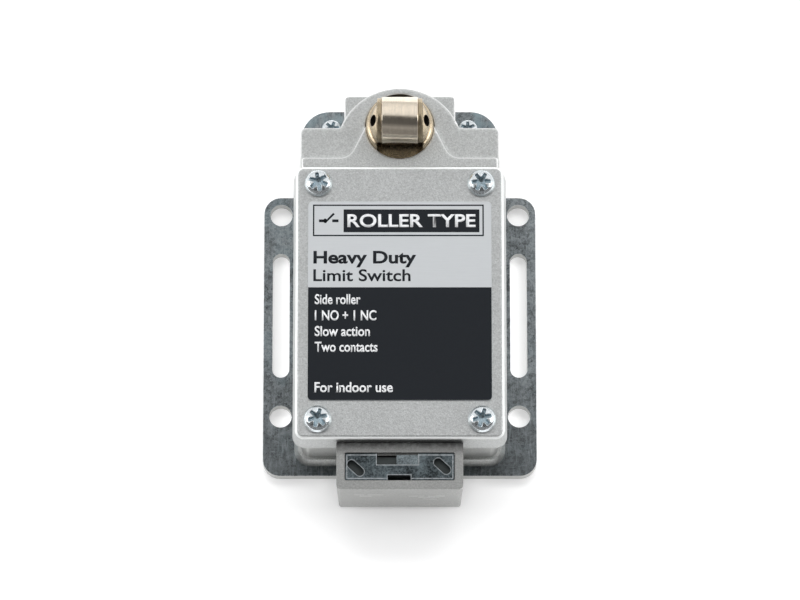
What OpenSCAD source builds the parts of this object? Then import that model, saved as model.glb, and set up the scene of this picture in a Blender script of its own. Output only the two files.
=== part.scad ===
// Limit switch with a side roller plunger, lying on its mounting plate.
// X runs across the switch, Y runs from the cable end to the head, Z points out of the mounting face.
// The origin is the centre of the four mounting holes, on the back face of the plate.

/* [Mounting plate] */
// Thickness of the steel mounting plate
plate_t = 4.2; // [3:0.1:5.4]
// Width of the plate across its wings
plate_w = 87.3; // [86:0.1:92]
// Height of the wings above the origin
wing_top = 39.2; // [38:0.1:41]
// Distance from the origin to the lower edge of the plate
plate_low = 52.8; // [51:0.1:56]
// Distance from the origin to the top edge of the ears
ear_top = 68.2; // [66.8:0.1:68.6]
// Corner radius of the wings
wing_r = 5.4; // [3:0.1:6]
// Corner radius of the ears
ear_r = 9; // [6:0.5:11]
// Mounting hole spacing across the plate
hole_dx = 76.2; // [76:0.1:78]
// Mounting hole spacing along the plate
hole_dy = 66.7; // [60:0.1:68]
// Diameter of the round mounting holes
hole_d = 7.1; // [5:0.1:7.2]
// Width of the long slots
slot_w = 5.4; // [4.5:0.1:6]
// Length of the long slots, end to end
slot_l = 41; // [30:1:44]

/* [Housing] */
// Width of the housing walls, outside
body_w = 62.8; // [62:0.1:64]
// Lower end of the housing walls
body_low = -47.4; // [-47.6:0.1:-47.2]
// Upper end of the housing walls
body_high = 41.4; // [41.3:0.1:41.5]
// Wall thickness of the housing
wall = 3; // [2.5:0.1:3.2]
// Height of the housing rim above the mounting face
rim_z = 24.7; // [24:0.1:25]

/* [Cover] */
// Width of the cover at its front face
cover_w = 66; // [65:0.1:67]
// Height of the cover's front face above the mounting face
cover_z = 34; // [32:0.1:36]
// Draft of the cover's side walls, each side
cover_draft = 0.8; // [0.2:0.1:0.8]
// Corner radius of the cover
cover_r = 2.8; // [2:0.1:4]
// Cover screw spacing across
screw_dx = 51.6; // [51:0.1:53]
// Cover screw spacing along
screw_dy = 77; // [76:0.1:78]

/* [Head] */
// Height of the head's front face
face_z = 28.5; // [28:0.1:29]
// Height of the head's shoulders
shoulder_z = 26.6; // [26:0.1:27.5]
// Height of the square block behind the arch
block_z = 21.5; // [20:0.1:23]
// Width across the shoulders
head_w = 63.5; // [62.5:0.1:64]
// Centre of the plunger along the switch
plunger_y = 56.3; // [56.2:0.1:56.4]
// Diameter of the plunger
plunger_d = 21.6; // [21.4:0.1:21.8]

/* [Roller] */
// Diameter of the roller
roller_d = 15; // [14:0.1:15.4]
// Length of the roller along its pin
roller_l = 11.5; // [10:0.1:11.5]
// Height of the roller's axis above the mounting face
roller_z = 34; // [33.5:0.1:34.5]
// Diameter of the roller pin
pin_d = 3.5; // [3:0.1:4]

/* [Motion] */
// Travel of the plunger into the head
stroke = 5; // [3:0.5:5]

/* [Hidden] */
$fn = 64;
FACETED_FN = 32;
EPS = 0.01;
GAP = 0.08;

// Colours
ZINC = [0.52, 0.56, 0.58];
CAST = [0.72, 0.72, 0.71];
RUBBER = [0.08, 0.08, 0.08];
BRONZE = [0.72, 0.62, 0.45];
STEEL = [0.70, 0.68, 0.66];
BRASS = [0.80, 0.65, 0.35];
PHENOLIC = [0.12, 0.11, 0.10];
SILVER = [0.88, 0.88, 0.86];

// Housing and cover
rim_gasket = 0.8;
cover_rim_z = rim_z + rim_gasket;
cover_low = body_low - 0.5;
cover_high = body_high - 0.3;
cover_skin = 3;
nameplate_low = [-29, -35.5];
nameplate_high = [29, 29.4];
nameplate_t = 0.3;
cover_screw_head = [8.4, 2.6];
body_screw_l = 19;
screw_core_d = 3.58;
clearance_r = 2.3;
blind_tap_depth = 12;
floor_z = 7.3;
foot_z = 7.8;
foot_out = 2.2;
foot_in = 0.9;
boss_r = 4.2;
cover_fillet = 1.2;
wall_rise = cover_z - cover_fillet - cover_rim_z;
screw_mid_y = (cover_low + cover_high) / 2 + 0.35;
cover_screw_at = [for (x = [-1, 1], y = [-1, 1]) [x * screw_dx / 2, screw_mid_y + y * screw_dy / 2]];

// Head
seam = 0.6;
head_low = body_high + seam;
shoulder_top = 56.1;
band_top = 45.7;
arch_r = 20.2;
arch_y = 49.2;
block_w = 35.6;
block_top = 68.3;
bore_r = plunger_d / 2 + GAP;
plunger_low = 12.8;
slot_half = 7.35;
guide_z = 28.7;
dome_z = 29.8;
dome_r = plunger_d / 2 - 1.1;
dome_top = 36.6;
spring_bore_r = 3.6;
bell_half = 19.2;
bell_fillet_r = 5;
bell_shoulder = [14.7, band_top + 2.8];
bell_neck = 10.9;
pin_half = 7.9;
spring_plate_t = 2;
spring_plate_z = plate_t + spring_plate_t;
spring_plate_w = 32;
spring_plate_h = 21.6;
stop_pin_r = 1.5;
stop_pin_reach = 13;
stop_pin_z = 15.4;
groove_half = 1.4;
groove_at_low = 6.6;
groove_slope = 0.5;
head_screw_at = [for (x = [-16, 16], z = [11, 20]) [x, z]];
head_plate_screw_at = [[-24, 49], [24, 49]];
ground_screw_at = [[-22, 62], [22, 62]];
seal_z = 22.5;
seal_wire_r = 0.5;
seal_r = plunger_d / 2 - 0.44;
seal_groove_r = seal_r - seal_wire_r - 0.02;
seal_groove_half = 0.55;
fork_floor_z = 24;
spring_bore_top = plunger_low + 7;

// Push rod, touching the inclined groove of the plunger
rod_r = 1.25;
rod_z = 15;
cam_normal = 1 / sqrt(1 + groove_slope * groove_slope);
cam_touch_z = rod_z + rod_r * groove_slope * cam_normal;
cam_touch_y = groove_at_low + groove_slope * (cam_touch_z - plunger_low);
rod_tip_y = plunger_y - cam_touch_y - rod_r * cam_normal - 0.04;
rod_end_y = 29.5;
bushing_r = 3;
bushing_low = 34.5;
bushing_high = 44.9;

// Cable receptacle
rec_w = 38.8;
rec_draft = 0.5;
rec_low = -62.9;
rec_face_z = 31;
rec_high = body_low - seam;
rec_step_gap = 0.35;
rec_step_y = cover_low - cover_draft - rec_step_gap;
rec_step_z = cover_rim_z - 0.3;
rec_open_w = 34.7;
rec_open_low = -60.5;
rec_open_high = -51.5;
rec_ledge = 0.6;
rec_corner_r = 0.6;
rec_side_gap = 0.25;
rec_notch = [-3.8, 3.4];
rec_notch_top = -58.7;
rec_window = [-7.2, 5.8];
rec_window_low = -55.3;
rec_plate_z = rec_face_z - 0.5;
rec_plate_t = 1.1;
rec_floor_z = 8;
rec_insulator_z = 28.4;
rec_screw_at = [[-13, 21.5], [13, 21.5]];
rec_slot_half = [3.1, 1.35];
rec_slot_turn = -43;
rec_slot_at = [[-13.85, -56.4], [13.3, -55.8]];
rec_passage_w = 18;
pin_x = [-10, -5, 0, 5, 10];
pin_y = -56.2;
pin_r = 0.98;
rec_passage_z = [10, 17];

// Contact block
base_low = -21;
base_high = 26;
base_w = 36;
core_w = 23;
base_z = 7.4;
slab_z = 13;
core_z = 20;
lid_z = 22;
channel_half = 3.6;
carrier_half = 3.4;
carrier_low = -13;
carrier_high = 27;
carrier_z = [13.2, 19.6];
nc_y = 10;
no_y = -3;
contact_gap = stroke * groove_slope + 0.1;
block_screw_at = [[-8, 22], [8, -17.5]];
terminal_x = 14.8;
tip_t = 0.5;
tab_t = 1;
strip_l = 5.6;
strip_t = 0.9;
nc_face = nc_y + 1.05;
no_face = no_y - 1 - contact_gap;
nc_terminal_y = nc_face + tip_t + strip_l / 2;
no_terminal_y = no_face - tip_t - strip_l / 2;
wire_r = 0.85;
wire_lanes = [17, 13.5];

module at_each(points) {
    for (p = points) translate([p[0], p[1], 0]) children();
}

// A rectangle with round corners, from its lowest to its highest corner.
module round_rect(low, high, r) {
    translate([low[0] + r, low[1]]) square([high[0] - low[0] - 2 * r, high[1] - low[1]]);
    translate([low[0], low[1] + r]) square([high[0] - low[0], high[1] - low[1] - 2 * r]);
    for (x = [low[0] + r, high[0] - r], y = [low[1] + r, high[1] - r])
        translate([x, y]) circle(r);
}

module slab(low, high, r, z0, z1) {
    translate([0, 0, z0]) linear_extrude(z1 - z0) round_rect(low, high, r);
}

// A cylinder along Y, centred on x and z.
module rod_y(x, z, r, y0, y1) {
    translate([x, y1, z]) rotate([90, 0, 0]) cylinder(r = r, h = y1 - y0);
}

// A cylinder along X, centred on y and z.
module rod_x(y, z, r, x0, x1) {
    translate([x0, y, z]) rotate([0, 90, 0]) cylinder(r = r, h = x1 - x0);
}

module ring(r_in, r_out, h) {
    difference() {
        cylinder(r = r_out, h = h);
        translate([0, 0, -1]) cylinder(r = r_in, h = h + 2);
    }
}

// Pan head standing on z = 0, with its threaded shank below and a six-lobe recess.
module pan_screw(head_d, head_h, shank_d, shank_l) {
    difference() {
        union() {
            rotate_extrude() intersection() {
                translate([0, 0]) square([head_d / 2, head_h]);
                union() {
                    square([head_d / 2, head_h * 0.45]);
                    translate([0, head_h - head_d * 0.93]) circle(head_d * 0.93);
                }
            }
            translate([0, 0, -shank_l]) cylinder(d = shank_d, h = shank_l + EPS);
        }
        translate([0, 0, head_h * 0.35]) {
            cylinder(d = head_d * 0.3, h = head_h);
            for (k = [0:2]) rotate(60 * k + 30)
                translate([-head_d * 0.29, -head_d * 0.06, 0]) cube([head_d * 0.58, head_d * 0.12, head_h]);
        }
    }
}

// Socket head cap screw along Y: its head lies below y = 0 and its shank runs to +Y.
module cap_screw_y(head_d, head_h, shank_d, shank_l, hex_d) {
    difference() {
        union() {
            rod_y(0, 0, head_d / 2, -head_h, 0);
            rod_y(0, 0, shank_d / 2, -EPS, shank_l);
        }
        translate([0, -head_h / 2, 0]) rotate([90, 0, 0]) cylinder(d = hex_d, h = head_h, $fn = 6);
    }
}

// Points on a circle of radius r round `at`, square to the direction `along`.
function unit(v) = v / norm(v);
function ring_points(at, along, r, sides) =
    let (side = unit(cross(along, abs(along[2]) < 0.9 * norm(along) ? [0, 0, 1] : [1, 0, 0])),
         up = unit(cross(side, along)))
    [for (k = [0:sides - 1]) at + r * (cos(360 * k / sides) * side + sin(360 * k / sides) * up)];

// A round tube swept along a path of points.
module tube(path, r, sides) {
    n = len(path);
    points = [for (i = [0:n - 1])
        let (along = path[min(i + 1, n - 1)] - path[max(i - 1, 0)])
        each ring_points(path[i], along, r, sides)];
    sides_faces = [for (i = [0:n - 2], k = [0:sides - 1])
        let (a = i * sides + k, b = i * sides + (k + 1) % sides)
        [a, a + sides, b + sides, b]];
    polyhedron(points, concat(sides_faces, [[for (k = [0:sides - 1]) k]],
        [[for (k = [sides - 1:-1:0]) (n - 1) * sides + k]]));
}

// A compression spring along Z, standing on z = 0.
module coil(r, wire_r, length, turns, steps, sides) {
    rise = length - 2 * wire_r;
    path = [for (i = [0:turns * steps])
        [r * cos(360 * i / steps), r * sin(360 * i / steps), wire_r + rise * i / (turns * steps)]];
    tube(path, wire_r, sides);
}

// ---- Mounting plate ----

module plate_outline() {
    round_rect([-plate_w / 2, -plate_low], [plate_w / 2, wing_top], wing_r);
    round_rect([-head_w / 2, 0], [head_w / 2, ear_top], ear_r);
}

module mounting_plate() {
    color(ZINC) difference() {
        linear_extrude(plate_t) plate_outline();
        for (x = [-1, 1]) {
            for (y = [-1, 1]) translate([x * hole_dx / 2, y * hole_dy / 2, -1])
                cylinder(d = hole_d, h = plate_t + 2);
            slab([x * hole_dx / 2 - slot_w / 2, -slot_l / 2], [x * hole_dx / 2 + slot_w / 2, slot_l / 2],
                slot_w / 2 - EPS, -1, plate_t + 1);
        }
        at_each(concat(cover_screw_at, head_plate_screw_at)) {
            translate([0, 0, -1]) cylinder(r = 2.2, h = plate_t + 2);
            translate([0, 0, -EPS]) cylinder(r1 = 4.4, r2 = 2.2, h = 2.4);
        }
        at_each(ground_screw_at) translate([0, 0, -1]) cylinder(r = 1.75, h = plate_t + 2);
    }
}

module plate_screw() {
    difference() {
        union() {
            translate([0, 0, 0.15]) cylinder(r1 = 4.1, r2 = 2, h = 2.1);
            translate([0, 0, 2.2]) cylinder(r = 2, h = 8.6);
        }
        cylinder(r = 1.1, h = 1.4);
        for (k = [0, 90]) rotate(k) translate([-2.1, -0.45, 0]) cube([4.2, 0.9, 1.2]);
    }
}

module plate_screws() {
    color(ZINC) at_each(concat(cover_screw_at, head_plate_screw_at)) plate_screw();
}

module ground_screws() {
    color(ZINC) at_each(ground_screw_at) translate([0, 0, plate_t]) rotate(12) pan_screw(6.9, 2.2, 3.44, 3.6);
}

// ---- Housing, cover and what seals them ----

module body_outline(inset) {
    round_rect([-body_w / 2 + inset, body_low + inset], [body_w / 2 - inset, body_high - inset],
        max(0.8, 3 - inset));
}

module body_foot() {
    r = 3;
    hull() for (x = [-1, 1], y = [body_low + r, body_high - r])
        translate([x * (body_w / 2 - r), y, plate_t])
            cylinder(r1 = r + foot_out, r2 = r + foot_in, h = foot_z - plate_t, $fn = FACETED_FN);
}

module body_housing() {
    color(CAST) difference() {
        union() {
            translate([0, 0, plate_t]) linear_extrude(rim_z - plate_t) body_outline(0);
            intersection() {
                body_foot();
                translate([-50, -60, 0]) cube([100, 60 + body_high, 30]);
            }
        }
        difference() {
            translate([0, 0, floor_z]) linear_extrude(rim_z) body_outline(wall);
            at_each(cover_screw_at) cylinder(r = boss_r, h = rim_z);
        }
        at_each(cover_screw_at) {
            translate([0, 0, rim_z - blind_tap_depth]) cylinder(d = screw_core_d + 0.02, h = blind_tap_depth + 1);
            translate([0, 0, 0]) cylinder(r = 2, h = 11);
        }
        rod_y(0, rod_z, bushing_r, 30, 50);
        for (p = head_screw_at) rod_y(p[0], p[1], 2.2, 37, 50);
        for (p = rec_screw_at) rod_y(p[0], p[1], 1.7, -50, -40);
        translate([-rec_passage_w / 2, -50, rec_passage_z[0]])
            cube([rec_passage_w, 10, rec_passage_z[1] - rec_passage_z[0]]);
        at_each(block_screw_at) translate([0, 0, 5.4]) cylinder(r = 1.5, h = 5);
        translate([-rec_w / 2 - 0.6, -60, 0]) cube([rec_w + 1.2, 60 + rec_high + seam, 40]);
    }
}

module cover_gasket() {
    color(RUBBER) difference() {
        translate([0, 0, rim_z]) linear_extrude(rim_gasket) body_outline(0.15);
        difference() {
            translate([0, 0, rim_z - 1]) linear_extrude(4) body_outline(wall);
            at_each(cover_screw_at) cylinder(r = boss_r, h = 40);
        }
        at_each(cover_screw_at) cylinder(r = clearance_r, h = 40);
    }
}

// Corner of the cover: drafted wall below and a rounded front edge.
module cover_corner() {
    top = cover_z - cover_rim_z;
    rotate_extrude($fn = FACETED_FN) polygon(concat(
        [[0, 0], [cover_r + cover_draft, 0]],
        [for (a = [0:22.5:90]) [cover_r - cover_fillet + cover_fillet * cos(a),
            top - cover_fillet + cover_fillet * sin(a)]],
        [[0, top]]));
}

module cover() {
    color(CAST) difference() {
        translate([0, 0, cover_rim_z]) hull()
            for (x = [-1, 1], y = [cover_low + cover_r, cover_high - cover_r])
                translate([x * (cover_w / 2 - cover_r), y, 0]) cover_corner();
        difference() {
            translate([0, 0, cover_rim_z - 1]) linear_extrude(cover_z - cover_skin - cover_rim_z + 1)
                body_outline(wall);
            at_each(cover_screw_at) cylinder(r = boss_r, h = 50);
        }
        at_each(cover_screw_at) cylinder(r = clearance_r, h = 50);
    }
}

module cover_screws() {
    color(ZINC) for (i = [0:3]) translate([cover_screw_at[i][0], cover_screw_at[i][1], cover_z])
        rotate(17 * i) pan_screw(cover_screw_head[0], cover_screw_head[1], screw_core_d, body_screw_l);
}

module nameplate() {
    color(SILVER) slab(nameplate_low, nameplate_high, 1.3, cover_z, cover_z + nameplate_t);
}

// ---- Head ----

module shoulder_outline() {
    round_rect([-head_w / 2, head_low], [head_w / 2, shoulder_top], 1.6);
    translate([-head_w / 2, head_low]) square([head_w, 4]);
    intersection() {
        translate([0, arch_y]) circle(arch_r);
        translate([-arch_r, head_low]) square([2 * arch_r, 40]);
    }
}

module bell_outline() {
    difference() {
        polygon([[-bell_half, band_top - 1], [-bell_half, band_top], [-bell_shoulder[0], bell_shoulder[1]],
            [-bell_neck, plunger_y], [bell_neck, plunger_y], bell_shoulder, [bell_half, band_top],
            [bell_half, band_top - 1]]);
        for (x = [-bell_half, bell_half]) translate([x, band_top + bell_fillet_r]) circle(bell_fillet_r);
    }
    round_rect([-head_w / 2 + 0.5, head_low], [head_w / 2 - 0.5, band_top], 0.8);
}

module head_housing() {
    color(CAST) difference() {
        union() {
            translate([0, 0, plate_t]) linear_extrude(shoulder_z - plate_t) shoulder_outline();
            slab([-block_w / 2, head_low], [block_w / 2, block_top], 1.5, plate_t, block_z);
            translate([0, 0, shoulder_z - 5]) linear_extrude(face_z - shoulder_z + 5) bell_outline();
        }
        translate([0, plunger_y, 0]) cylinder(r = bore_r, h = 50);
        for (s = [-1, 1]) translate([s * 6.9 - 6.7, plunger_y - stop_pin_r - GAP, 0])
            cube([13.4, 2 * (stop_pin_r + GAP), stop_pin_z + stop_pin_r + 0.05]);
        slab([-spring_plate_w / 2 - 0.05, plunger_y - spring_plate_h / 2 - 0.05],
            [spring_plate_w / 2 + 0.05, plunger_y + spring_plate_h / 2 + 0.05], 1.5, 0, spring_plate_z);
        rod_y(0, rod_z, bushing_r, 40, 50);
        for (p = head_screw_at) rod_y(p[0], p[1], 1.65, 40, 49.5);
        at_each(head_plate_screw_at) cylinder(r = 2, h = 11);
        translate([-40, head_low - 1, rim_z]) cube([80, 1 + EPS, 10]);
    }
}

module head_gasket() {
    color(RUBBER) difference() {
        translate([-body_w / 2 + 3, body_high, plate_t + 0.1]) cube([body_w - 6, seam, rim_z - plate_t - 0.3]);
        rod_y(0, rod_z, bushing_r, 30, 50);
        for (p = head_screw_at) rod_y(p[0], p[1], 2.2, 37, 50);
    }
}

module head_screws() {
    color(STEEL) for (p = head_screw_at) translate([p[0], body_high - wall, p[1]])
        cap_screw_y(6, 3.4, 3.28, 10, 2.5);
}

module spring_plate() {
    color(STEEL) slab([-spring_plate_w / 2, plunger_y - spring_plate_h / 2],
        [spring_plate_w / 2, plunger_y + spring_plate_h / 2], 1.5, plate_t, spring_plate_z);
}

module plunger_seal() {
    color(RUBBER) translate([0, plunger_y, seal_z]) rotate_extrude() translate([seal_r, 0]) circle(seal_wire_r);
}

module rod_bushing() {
    color(BRONZE) difference() {
        union() {
            rod_y(0, rod_z, bushing_r - 0.01, bushing_low, bushing_high);
            rod_y(0, rod_z, bushing_r + 1.2, bushing_low, body_high - wall);
        }
        rod_y(0, rod_z, rod_r + 0.05, 30, 50);
        rod_y(0, rod_z, rod_r + 1.2, 30, bushing_low + 1.6);
    }
}

module rod_seal() {
    color(RUBBER) translate([0, bushing_low + 0.8, rod_z]) rotate([90, 0, 0])
        rotate_extrude() translate([rod_r + 0.6, 0]) circle(0.55);
}

module plunger_spring() {
    color(STEEL) translate([0, plunger_y, spring_plate_z])
        coil(2.8, 0.45, spring_bore_top - spring_plate_z - 0.1, 7, 14, 6);
}

// ---- Plunger, roller and push rod ----

// Half section of the plunger: straight guide below, domed end above.
module plunger_section() {
    intersection() {
        union() {
            square([plunger_d / 2, guide_z]);
            polygon([[0, guide_z], [plunger_d / 2, guide_z], [dome_r + 0.55, dome_z - 0.2],
                [dome_r, dome_z], [0, dome_z]]);
            translate([0, dome_z]) circle(dome_r);
        }
        translate([0, plunger_low]) square([plunger_d / 2, dome_top - plunger_low]);
    }
}

module plunger() {
    color(BRONZE) difference() {
        translate([0, plunger_y, 0]) rotate_extrude() plunger_section();
        translate([-slot_half, 30, fork_floor_z]) cube([2 * slot_half, 50, 30]);
        rod_x(plunger_y, roller_z, pin_d / 2 + 0.01, -20, 20);
        translate([0, plunger_y, 0]) cylinder(r = spring_bore_r, h = spring_bore_top);
        translate([0, plunger_y, seal_z - seal_groove_half])
            ring(seal_groove_r, plunger_d, 2 * seal_groove_half);
        for (s = [-1, 1]) rod_x(plunger_y, stop_pin_z, stop_pin_r, s > 0 ? 6.5 : -15, s > 0 ? 15 : -6.5);
        translate([-groove_half, plunger_y, plunger_low - 1]) rotate([90, 0, 90]) linear_extrude(2 * groove_half)
            polygon([[-groove_at_low + groove_slope, 0], [-groove_at_low - 12 * groove_slope, 13],
                [-20, 13], [-20, 0]]);
    }
}

module roller_pin() {
    color(STEEL) difference() {
        rod_x(plunger_y, roller_z, pin_d / 2, -pin_half, pin_half);
        for (s = [-1, 1]) rod_x(plunger_y, roller_z, pin_d / 2 - 0.5, s > 0 ? 4 : -9, s > 0 ? 9 : -4);
    }
}

module thrust_washers() {
    color(BRONZE) for (s = [-1, 1]) translate([s * (roller_l / 2 + 0.75), plunger_y, roller_z])
        rotate([0, 90, 0]) translate([0, 0, -0.7]) ring(pin_d / 2 + 0.02, roller_d / 2 - 0.4, 1.4);
}

module stop_pins() {
    color(STEEL) for (s = [-1, 1])
        rod_x(plunger_y, stop_pin_z, stop_pin_r - EPS, s > 0 ? 6.6 : -stop_pin_reach, s > 0 ? stop_pin_reach : -6.6);
}

module roller() {
    color(STEEL) translate([-roller_l / 2, plunger_y, roller_z]) rotate([0, 90, 0])
        ring(pin_d / 2 + 0.06, roller_d / 2, roller_l);
}

module push_rod() {
    color(STEEL) {
        rod_y(0, rod_z, rod_r, rod_end_y, rod_tip_y);
        translate([0, rod_tip_y, rod_z]) sphere(rod_r);
    }
}

// ---- Cable receptacle ----

module receptacle_housing() {
    color(CAST) difference() {
        union() {
            intersection() {
                hull() for (x = [-1, 1], y = [rec_low + 1, 0])
                    translate([x * (rec_w / 2 - 1), y, plate_t])
                        cylinder(r1 = 1, r2 = 1 + rec_draft, h = rec_face_z - plate_t, $fn = FACETED_FN);
                translate([-30, 0, 0]) rotate([90, 0, 90]) linear_extrude(60)
                    polygon([[-80, 0], [rec_high, 0], [rec_high, rec_step_z], [rec_step_y, rec_step_z],
                        [rec_step_y + cover_draft, rec_step_z + wall_rise],
                        [rec_step_y + cover_draft, 60], [-80, 60]]);
            }
        }
        slab([-rec_open_w / 2, rec_open_low], [rec_open_w / 2, rec_open_high], rec_corner_r,
            rec_plate_z - rec_plate_t, 40);
        slab([-rec_open_w / 2 + rec_ledge, rec_open_low + rec_ledge],
            [rec_open_w / 2 - rec_ledge, rec_open_high - rec_ledge], rec_corner_r, rec_floor_z, 40);
        translate([rec_notch[0], rec_open_low, 20]) cube([rec_notch[1] - rec_notch[0], 2, 20]);
        translate([-rec_passage_w / 2, rec_open_high - 3, rec_passage_z[0]])
            cube([rec_passage_w, 20, rec_passage_z[1] - rec_passage_z[0]]);
        for (p = rec_screw_at) rod_y(p[0], p[1], 1.25, rec_open_high - 2, -40);
    }
}

module receptacle_gasket() {
    color(RUBBER) difference() {
        translate([-rec_w / 2 + 1, rec_high, foot_z + 0.2]) cube([rec_w - 2, seam, rec_step_z - foot_z - 1]);
        translate([-rec_passage_w / 2, -50, rec_passage_z[0]])
            cube([rec_passage_w, 10, rec_passage_z[1] - rec_passage_z[0]]);
        for (p = rec_screw_at) rod_y(p[0], p[1], 1.7, -60, -40);
    }
}

module receptacle_screws() {
    color(STEEL) for (p = rec_screw_at) translate([p[0], body_low + wall, p[1]]) rotate(180)
        cap_screw_y(4.8, 2.6, 2.48, 6.4, 2);
}

// An obround hole through the receptacle plate.
module oblique_slot(x, y) {
    translate([x, y, 0]) rotate(rec_slot_turn) slab(-rec_slot_half, rec_slot_half, rec_slot_half[1] - EPS, 20, 40);
}

module receptacle_plate() {
    color(ZINC) difference() {
        slab([-rec_open_w / 2 + rec_side_gap, rec_open_low + rec_side_gap],
            [rec_open_w / 2 - rec_side_gap, rec_open_high - rec_side_gap], 0.4,
            rec_plate_z - rec_plate_t, rec_plate_z);
        for (p = rec_slot_at) oblique_slot(p[0], p[1]);
        translate([rec_window[0], rec_window_low, 20]) cube([rec_window[1] - rec_window[0], 10, 20]);
        translate([rec_notch[0], rec_notch_top - 5, 20]) cube([rec_notch[1] - rec_notch[0], 5, 20]);
    }
}

module receptacle_latch() {
    color(SILVER) slab([-1, rec_window_low + 0.05], [rec_window[1] - 0.1, rec_open_high - rec_ledge - 0.1], 0.3,
        rec_insulator_z, rec_plate_z - 0.15);
}

module receptacle_insulator() {
    color(PHENOLIC) difference() {
        slab([-16.3, -59.5], [16.3, -52.5], 0.8, rec_floor_z, rec_insulator_z);
        for (x = pin_x) translate([x, pin_y, 0]) cylinder(r = pin_r + 0.02, h = 40);
        translate([rec_notch[0], -62, 14]) cube([rec_notch[1] - rec_notch[0], 3.2, 20]);
        translate([-rec_passage_w / 2, -54, rec_floor_z - 1]) cube([rec_passage_w, 5, 10]);
    }
}

module receptacle_pins() {
    color(BRASS) for (x = pin_x) translate([x, pin_y, 0]) {
        translate([0, 0, 9]) cylinder(r = pin_r, h = 14);
        translate([0, 0, 23]) cylinder(r1 = pin_r, r2 = 0.4, h = 1.2);
    }
}

// ---- Contact block ----

module contact_base() {
    color(PHENOLIC) difference() {
        union() {
            slab([-base_w / 2, base_low], [base_w / 2, base_high], 1, base_z, slab_z);
            slab([-core_w / 2, base_low], [core_w / 2, base_high], 1, slab_z - 1, core_z);
        }
        translate([-channel_half, base_low + 2, slab_z]) cube([2 * channel_half, 60, 20]);
        translate([-30, nc_y - 3.4, slab_z]) cube([60, 10.8, 20]);
        translate([-30, no_y - 10.4, slab_z]) cube([60, 12, 20]);
        at_each(block_screw_at) cylinder(r = 1.75, h = 40);
        for (x = [-1, 1], y = [nc_terminal_y, no_terminal_y]) translate([x * terminal_x, y, 9]) cylinder(r = 1.5, h = 9);
    }
}

module contact_cover() {
    color(PHENOLIC) difference() {
        slab([-core_w / 2, base_low], [core_w / 2, base_high], 1, core_z, lid_z);
        at_each(block_screw_at) cylinder(r = 1.75, h = 40);
    }
}

module contact_screws() {
    color(ZINC) at_each(block_screw_at) translate([0, 0, lid_z]) pan_screw(6, 2, 2.98, lid_z - 5.6);
}

// One fixed contact on the +X side: a terminal strip, an upright tab and a silver tip that faces
// the bridge. `face` is where the tip ends, and the strip lies on the side that `way` points to.
module fixed_contact(face, way) {
    tip = face + way * tip_t;
    translate([6, min(tip, tip + way * tab_t), slab_z]) cube([4.6, tab_t, 5.6]);
    translate([6, min(tip, tip + way * strip_l), slab_z]) cube([11.6, strip_l, strip_t]);
    rod_y(8.3, slab_z + 3.4, 1.4, min(face, tip), max(face, tip));
}

module fixed_contacts() {
    color(BRASS) for (s = [0, 1]) mirror([s, 0, 0]) difference() {
        union() {
            fixed_contact(nc_face, 1);
            fixed_contact(no_face, -1);
        }
        for (y = [nc_terminal_y, no_terminal_y]) translate([terminal_x, y, 0]) cylinder(r = 1.52, h = 40);
    }
}

module terminal_clamps() {
    color(ZINC) for (x = [-1, 1], y = [nc_terminal_y, no_terminal_y])
        translate([x * terminal_x, y, slab_z + 0.9]) difference() {
            translate([-2.4, -2.4, 0]) cube([4.8, 4.8, 0.9]);
            translate([0, 0, -1]) cylinder(r = 1.6, h = 3);
        }
}

module terminal_screws() {
    color(ZINC) for (x = [-1, 1], y = [nc_terminal_y, no_terminal_y])
        translate([x * terminal_x, y, slab_z + 1.8]) pan_screw(5, 1.9, 2.98, 5);
}

module contact_carrier() {
    color([0.75, 0.72, 0.62]) difference() {
        union() {
            translate([-carrier_half, carrier_low, carrier_z[0]])
                cube([2 * carrier_half, carrier_high - carrier_low, carrier_z[1] - carrier_z[0]]);
            rod_y(0, rod_z, rod_r, carrier_high - EPS, rod_end_y - 0.05);
        }
        translate([-10, nc_y - 3, 14.4]) cube([20, 3.5, 4]);
        translate([-10, no_y - 0.5, 14.4]) cube([20, 3.5, 4]);
    }
}

// One moving bridge across the carrier, with a tip at each end on the side that `way` points to.
module bridge(y, way) {
    translate([-10.4, y - 0.5, 14.6]) cube([20.8, 1, 3.6]);
    for (x = [-8.3, 8.3]) rod_y(x, slab_z + 3.4, 1.4, way > 0 ? y + 0.5 : y - 1, way > 0 ? y + 1 : y - 0.5);
}

module contact_bridges() {
    color(BRASS) {
        bridge(nc_y, 1);
        bridge(no_y, -1);
    }
}

module bridge_springs() {
    color(STEEL) for (y = [nc_y - 3, no_y + 0.5]) translate([0, y + 2.48, 16.4]) rotate([90, 0, 0])
        coil(1.1, 0.2, 2.46, 3, 12, 6);
}

module return_spring() {
    color(STEEL) translate([0, carrier_low - 0.02, 16.4]) rotate([90, 0, 0])
        coil(2.3, 0.3, carrier_low - base_low - 2.04, 4, 14, 6);
}

// A smooth curve through a path of points, with n steps for each stretch.
function curve(p, n) = concat([for (i = [0:len(p) - 2], k = [0:n - 1])
    let (t = k / n, a = p[max(i - 1, 0)], b = p[i], c = p[i + 1], d = p[min(i + 2, len(p) - 1)])
    0.5 * (2 * b + (c - a) * t + (2 * a - 5 * b + 4 * c - d) * t * t
        + (3 * b - a - 3 * c + d) * t * t * t)], [p[len(p) - 1]]);

// One wire: from a terminal into the gap beside the block, past its end and through the passage.
module wire(side, y_end, lane_z, x_pin, z_pin) {
    tube(curve([[side * 18.6, y_end, slab_z + 1], [side * 20.1, y_end - 3.2, (slab_z + 1 + lane_z) / 2],
        [side * 20.5, y_end - 7.5, lane_z], [side * 20.5, -21, lane_z], [side * 16.5, -28.5, lane_z],
        [x_pin * 1.3, -38, z_pin], [x_pin, -44, z_pin], [x_pin, -51.9, z_pin]], 4), wire_r, 8);
}

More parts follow.
